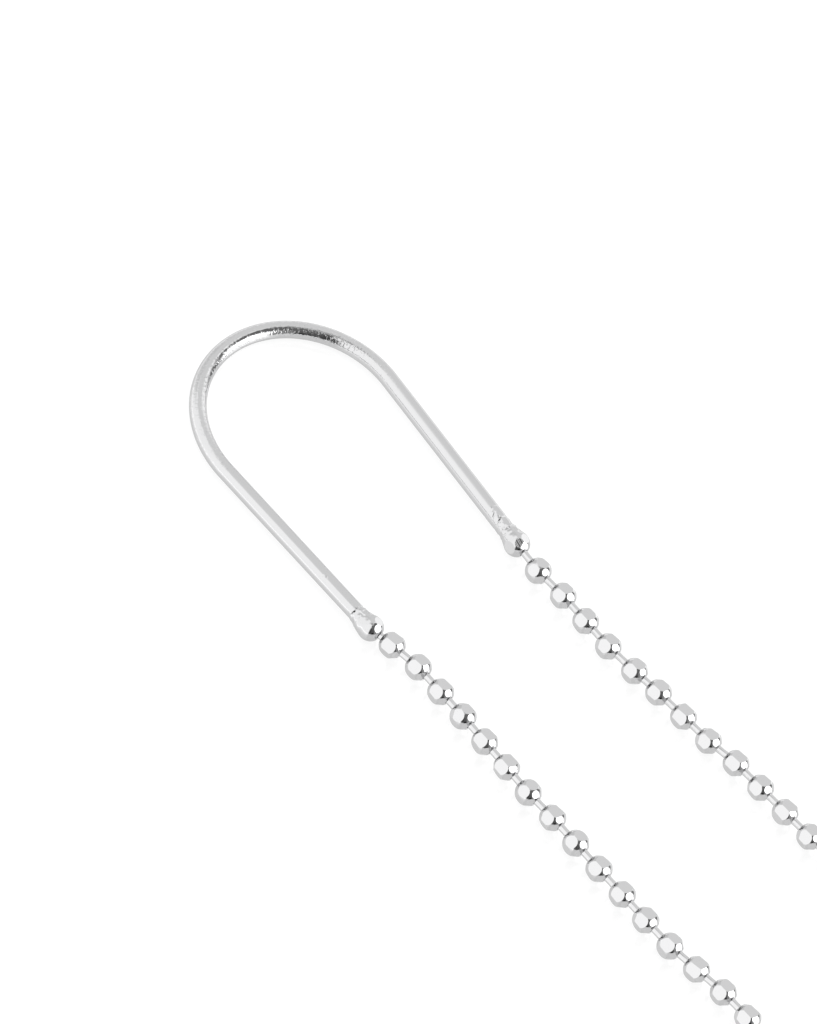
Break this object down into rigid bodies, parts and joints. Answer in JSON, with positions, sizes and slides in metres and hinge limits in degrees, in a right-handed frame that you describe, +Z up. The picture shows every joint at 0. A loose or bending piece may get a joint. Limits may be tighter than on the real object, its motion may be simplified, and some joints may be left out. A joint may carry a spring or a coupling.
{
  "type": "threader earring",
  "caption": "Threader earring: a U-shaped ear wire with a soldered ball on each leg, a faceted ball chain on each ball, and a plain threading post on one chain.",
  "frame": {"origin": "middle of the footprint, on the surface that the earring lies on", "axes": "+Y along the earring towards the bend of the ear wire, +Z up from the surface, +X towards the leg whose chain carries the post"},
  "size_m": [0.0132, 0.0478, 0.0012],
  "materials": {
    "silver": "polished silver with diamond-cut beads"
  },
  "bodies": {
    "root": {"ear_wire": "silver", "bead_left_01": "silver", "bead_left_02": "silver", "bead_left_03": "silver", "bead_left_04": "silver", "bead_left_05": "silver", "bead_left_06": "silver", "bead_left_07": "silver", "bead_left_08": "silver", "bead_left_09": "silver", "bead_left_10": "silver", "bead_left_11": "silver", "bead_left_12": "silver", "bead_left_13": "silver", "bead_left_14": "silver", "bead_left_15": "silver", "bead_left_16": "silver", "bead_right_01": "silver", "bead_right_02": "silver", "bead_right_03": "silver", "bead_right_04": "silver", "bead_right_05": "silver", "bead_right_06": "silver", "bead_right_07": "silver", "bead_right_08": "silver", "bead_right_09": "silver", "bead_right_10": "silver", "bead_right_11": "silver", "bead_right_12": "silver", "links_left": "silver", "links_right": "silver", "thread_post": "silver"}
  },
  "joints": []
}
